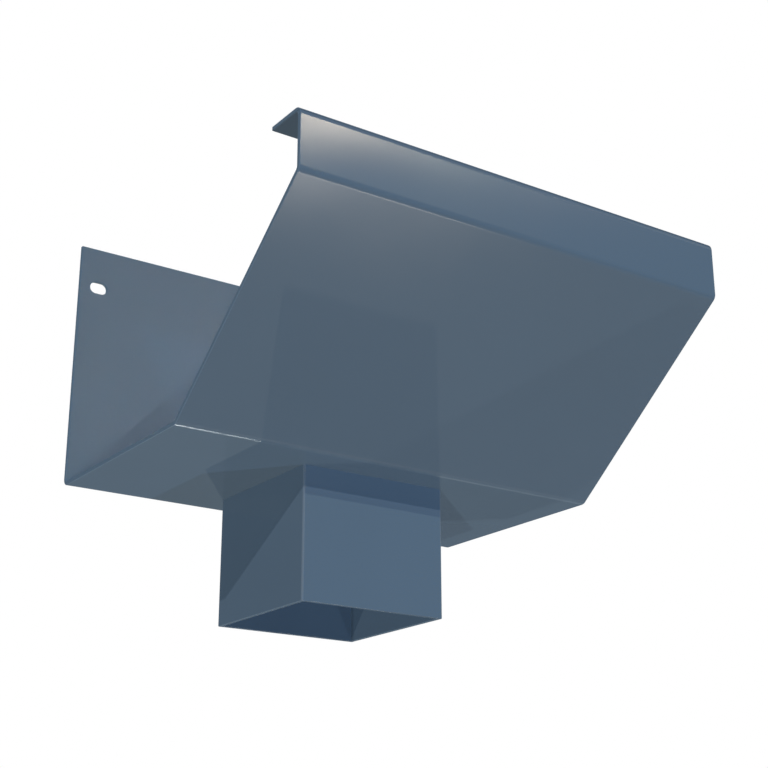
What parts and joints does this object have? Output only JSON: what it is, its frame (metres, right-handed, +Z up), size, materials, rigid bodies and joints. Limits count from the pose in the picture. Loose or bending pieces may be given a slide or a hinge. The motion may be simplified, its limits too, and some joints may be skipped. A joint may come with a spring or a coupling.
{
  "type": "rainwater outlet",
  "caption": "Short length of folded metal gutter with a square spigot let into its sole, which carries roof water down into a square downpipe.",
  "frame": {"origin": "centre of the square spigot's rim, on the outlet's axis, at the lowest plane of the part", "axes": "+X along the gutter, +Y towards the wall that the gutter is fixed to, +Z up along the outlet's axis"},
  "size_m": [0.3, 0.2815, 0.2485],
  "materials": {
    "powder_coat": "satin slate-blue powder coating on aluminium"
  },
  "bodies": {
    "root": {"gutter_body": "powder_coat", "outlet_spigot": "powder_coat", "mouth_weld": "powder_coat"}
  },
  "joints": []
}
